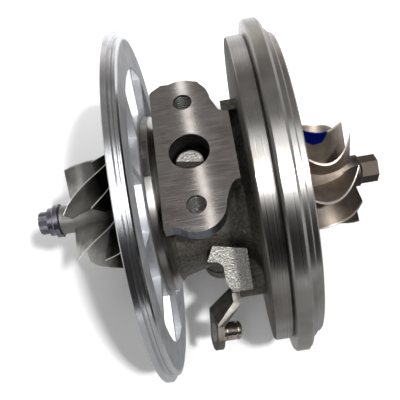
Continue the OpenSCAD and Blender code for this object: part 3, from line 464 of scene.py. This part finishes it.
def stamped_lever():
    """Stainless sheet, stamped and bent, browned by the weld at its pin."""
    material, tree, shader, place = new_material("stainless_stamped")
    tone = mottle(tree, place, 4, linear("#6b6963"), linear("#8f8c86"))
    pin = [c / MM for c in MOUNTS["actuator_pin"]["pos_m"]]
    heated = near(tree, place, pin, reach_mm=6.5, blur_mm=2.5)
    grains = add(tree, "ShaderNodeTexNoise", {"Vector": place, "Scale": per_metre(0.5), "Detail": 3.0})
    join(tree, shader, {
        "Base Color": layered(tree, tone, (heated, linear("#736457"))),
        "Roughness": add(tree, "ShaderNodeMapRange", {"Value": grains, "To Min": 0.35, "To Max": 0.55}),
        "Normal": add(tree, "ShaderNodeBump", {"Height": grains, "Distance": 0.05 * MM}),
    })
    return material


SLOT_MATERIALS = {
    "cast_iron": cast_housing(),
    "turned_aluminium": turned_aluminium(),
    "black_steel": plain_metal("steel_blacked", "#1b1c1e", "#2c2d30", 0.45),
    "seal_rubber": seal_rubber(),
    "bronze": plain_metal("bronze_turned", "#a27a45", "#c39a5c", 0.3),
    "spring_steel": plain_metal("spring_steel_ground", "#5a5a5e", "#77777b", 0.3),
    "shield_steel": plain_metal("stainless_pressed", "#6f655d", "#8d837b", 0.38),
    "shaft_steel": plain_metal("steel_ground", "#9c9ea2", "#b9bbbf", 0.2),
    "wheel_aluminium": wheel_aluminium(),
    "wheel_alloy": wheel_nickel(),
    "nut_steel": plain_metal("steel_phosphated", "#75737e", "#9b99a4", 0.3),
    "lever_steel": stamped_lever(),
    "pin_steel": plain_metal("steel_turned", "#aca196", "#cfc6bb", 0.19),
}


# Pieces

def finished(name, mesh):
    """The object of a finished bmesh, at the origin."""
    data = bpy.data.meshes.new(name)
    mesh.to_mesh(data)
    mesh.free()
    piece = bpy.data.objects.new(name, data)
    bpy.context.scene.collection.objects.link(piece)
    return piece


def smooth_copy(node):
    """A merged copy of a bladed wheel, shaded smooth between its sharp edges, in place of the node."""
    sharp = math.radians(32)
    weld_gap = 0.002 * MM
    mesh = bmesh.new()
    mesh.from_mesh(nodes[node].data)
    bmesh.ops.remove_doubles(mesh, verts=mesh.verts, dist=weld_gap)
    bmesh.ops.dissolve_degenerate(mesh, edges=mesh.edges, dist=weld_gap)
    for edge in mesh.edges:
        edge.smooth = edge.calc_face_angle(math.pi) < sharp
    for face in mesh.faces:
        face.smooth = True
    piece = finished(node + "_smooth", mesh)
    normals = piece.modifiers.new("face_weights", "WEIGHTED_NORMAL")
    normals.keep_sharp = True
    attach(piece, nodes[node]["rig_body"])
    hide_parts(node)
    return piece


def thread(name, mouth, inwards, radius_mm, depth_mm):
    """The ridge of a tapped hole's thread, wound into the hole from its mouth."""
    turn_steps = 32
    pitch = THREAD_PITCH * MM
    # It starts a little below the mouth and ends a little above the floor
    start = Vector(mouth) + inwards * (0.6 * pitch)
    turns = depth_mm / THREAD_PITCH - 1.5
    # The foot is almost a pitch wide and lies a little way into the wall
    ridge, half, sunk = 0.3 * MM, 0.42 * pitch, 0.02 * MM
    wall = Vector((radius_mm * MM + sunk, 0, 0))
    mesh = bmesh.new()
    corners = [mesh.verts.new(start + wall + inwards * half), mesh.verts.new(start + wall - inwards * half),
               mesh.verts.new(start + wall * (1 - ridge / wall.length))]
    loop = [mesh.edges.new((corners[i], corners[(i + 1) % 3])) for i in range(3)]
    bmesh.ops.spin(mesh, geom=corners + loop, cent=start, axis=inwards, dvec=inwards * (pitch / turn_steps),
                   angle=math.tau * turns, steps=round(turns * turn_steps), use_merge=False,
                   use_duplicate=False)
    bmesh.ops.holes_fill(mesh, edges=mesh.edges, sides=3)
    bmesh.ops.recalc_face_normals(mesh, faces=mesh.faces)
    for face in mesh.faces:
        face.smooth = len(face.verts) == 4
    piece = finished(name, mesh)
    piece.data.materials.append(SLOT_MATERIALS["cast_iron"])
    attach(piece, nodes["bearing_housing"]["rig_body"])


def cut_threads():
    """M8 threads in the bolt holes of the oil inlet and the drain."""
    for mount, depth_mm in (("oil_inlet_bolts", 13), ("oil_drain_bolts", 10)):
        holes = MOUNTS[mount]
        axis = Vector(holes["axis"])
        gap = Vector((0, holes["dims"]["spacing_y_mm"] * MM / 2, 0))
        for side in (-1, 1):
            thread(f"{mount}_thread_{side + 1}", Vector(holes["pos_m"]) + gap * side, -axis,
                   holes["dims"]["hole_r_mm"], depth_mm)


def dress():
    """Gives every node the material of its slot."""
    for part in frame["record"]["subparts"]:
        node, slot = part["node"], part["material_slot"]
        targets = [nodes[node]]
        if node in ("compressor_wheel", "turbine_wheel"):
            piece = smooth_copy(node)
            targets.append(piece)
        for target in targets:
            target.data.materials.clear()
            target.data.materials.append(SLOT_MATERIALS[slot])


# Camera, table and light

def set_camera():
    """The photograph's view: a 54 mm lens, looking down at about 61 degrees."""
    data = bpy.data.cameras.new("photo_camera")
    data.lens = 54
    data.sensor_width = 36
    data.clip_start = 0.01
    data.clip_end = 20
    camera = bpy.data.objects.new("photo_camera", data)
    bpy.context.scene.collection.objects.link(camera)
    right = Vector((0.98511, -0.12528, -0.11783))
    up = Vector((0.16640, 0.86743, 0.46895))
    place = Matrix((right, up, right.cross(up))).transposed().to_4x4()
    place.translation = Vector((-21.25, -113.75, 204.38)) * MM
    camera.matrix_world = place
    bpy.context.scene.camera = camera


def stage_piece(name, mesh, material):
    """A piece of the studio, which isn't part of the object."""
    piece = finished(name, mesh)
    piece.data.materials.append(material)
    return piece


def mirrored_only(piece):
    """Hides a piece of the studio from all but the reflections."""
    piece.visible_camera = False
    piece.visible_diffuse = False
    piece.visible_transmission = False
    piece.visible_shadow = False


def set_table():
    """A white table under the object, which keeps its shadow and stays white far from the lamps."""
    mesh = bmesh.new()
    bmesh.ops.create_grid(mesh, x_segments=1, y_segments=1, size=3.0)
    bmesh.ops.translate(mesh, verts=mesh.verts, vec=(0, 0, cad_box[0][2] - 0.1 * MM))
    material, tree = blank_material("table_white")
    place = add(tree, "ShaderNodeTexCoord").outputs["Object"]
    lit_centre = (-0.03, -0.12, 0)
    away = add(tree, "ShaderNodeVectorMath", {0: place, 1: lit_centre}, operation="DISTANCE")
    far = add(tree, "ShaderNodeMapRange", {"Value": away, "From Min": 0.14, "From Max": 0.4})
    fill = add(tree, "ShaderNodeMath", {0: far, 1: 0.06}, operation="ADD")
    # The metal mirrors half of the fill, so that it doesn't fade into the table
    path = add(tree, "ShaderNodeLightPath")
    half = add(tree, "ShaderNodeMath", {0: path.outputs["Is Glossy Ray"], 1: 0.5}, operation="MULTIPLY")
    shown = where_any(tree, path.outputs["Is Camera Ray"], half)
    strength = add(tree, "ShaderNodeMath", {0: fill, 1: shown}, operation="MULTIPLY")
    paper = add(tree, "ShaderNodeBsdfDiffuse", {"Color": grey(0.85)})
    glow = add(tree, "ShaderNodeEmission", {"Color": grey(1.0), "Strength": strength})
    both = add(tree, "ShaderNodeAddShader", {0: paper, 1: glow})
    add(tree, "ShaderNodeOutputMaterial", {"Surface": both})
    stage_piece("table", mesh, material)


def set_screen():
    """A dark screen round the table, open above, that the metal mirrors and the camera doesn't see.

    It is darkest on the camera's side, paler behind the object and palest at its foot there.
    """
    foot, top, tall, lean = 1.4, 0.55, 1.0, -0.35
    mesh = bmesh.new()
    bmesh.ops.create_cone(mesh, cap_ends=False, segments=64, radius1=foot, radius2=top, depth=tall)
    bmesh.ops.translate(mesh, verts=mesh.verts, vec=(0, 0, tall / 2))
    bmesh.ops.translate(mesh, verts=[v for v in mesh.verts if v.co.z > tall / 2], vec=(0, lean, 0))
    material, tree = blank_material("screen_dark")
    place = add(tree, "ShaderNodeTexCoord").outputs["Object"]
    side = add(tree, "ShaderNodeSeparateXYZ", {"Vector": place}).outputs["Y"]
    shade = add(tree, "ShaderNodeMapRange",
                {"Value": side, "From Min": -0.6, "From Max": 0.6, "To Min": 0.03, "To Max": 0.3})
    rear = add(tree, "ShaderNodeMapRange",
               {"Value": side, "From Min": 0.75, "From Max": 1.2, "To Min": 0.0, "To Max": 0.85})
    shade = add(tree, "ShaderNodeMath", {0: shade, 1: rear}, operation="ADD")
    cloth = add(tree, "ShaderNodeEmission", {"Color": linear("#faf6f2"), "Strength": shade})
    add(tree, "ShaderNodeOutputMaterial", {"Surface": cloth})
    mirrored_only(stage_piece("screen", mesh, material))


def set_card():
    """A grey card on the table, which only the metal mirrors, so that its lower side stays dull."""
    size = 0.4
    mesh = bmesh.new()
    bmesh.ops.create_grid(mesh, x_segments=1, y_segments=1, size=size)
    bmesh.ops.translate(mesh, verts=mesh.verts, vec=(0, -size, cad_box[0][2] - 0.05 * MM))
    material, tree = blank_material("card_grey")
    paper = add(tree, "ShaderNodeEmission", {"Color": grey(1.0), "Strength": 0.45})
    add(tree, "ShaderNodeOutputMaterial", {"Surface": paper})
    mirrored_only(stage_piece("card", mesh, material))


def area_lamp(name, place, target, size, watts):
    data = bpy.data.lights.new(name, "AREA")
    data.shape = "RECTANGLE"
    data.size, data.size_y = size
    data.energy = watts
    lamp = bpy.data.objects.new(name, data)
    lamp.location = place
    lamp.rotation_euler = (Vector(target) - Vector(place)).to_track_quat("-Z", "Y").to_euler()
    bpy.context.scene.collection.objects.link(lamp)


def set_light():
    """Soft light all round, a long softbox and a strip above the object, a small lamp from the right."""
    world = bpy.data.worlds.new("studio")
    bpy.context.scene.world = world
    world.use_nodes = True
    tree = world.node_tree
    tree.nodes.clear()
    path = add(tree, "ShaderNodeLightPath").outputs
    shown = where_any(tree, path["Is Camera Ray"], path["Is Glossy Ray"], path["Is Transmission Ray"])
    strength = add(tree, "ShaderNodeMapRange", {"Value": shown, "To Min": 0.24, "To Max": 1.0})
    sky = add(tree, "ShaderNodeBackground", {"Color": grey(1.0), "Strength": strength})
    add(tree, "ShaderNodeOutputWorld", {"Surface": sky})
    area_lamp("softbox", place=(-0.06, -0.25, 0.9), target=(-0.05, -0.05, 0), size=(0.16, 0.6), watts=1.7)
    area_lamp("strip", place=(-0.055, 0.387, 0.615), target=(-0.031, 0, 0.033), size=(0.01, 0.4), watts=0.044)
    area_lamp("right_lamp", place=(0.22, -0.32, 0.75), target=(-0.03, 0, 0), size=(0.05, 0.05), watts=7.4)


dress()
cut_threads()
set_camera()
set_table()
set_screen()
set_card()
set_light()
bpy.context.scene.view_settings.view_transform = "Standard"
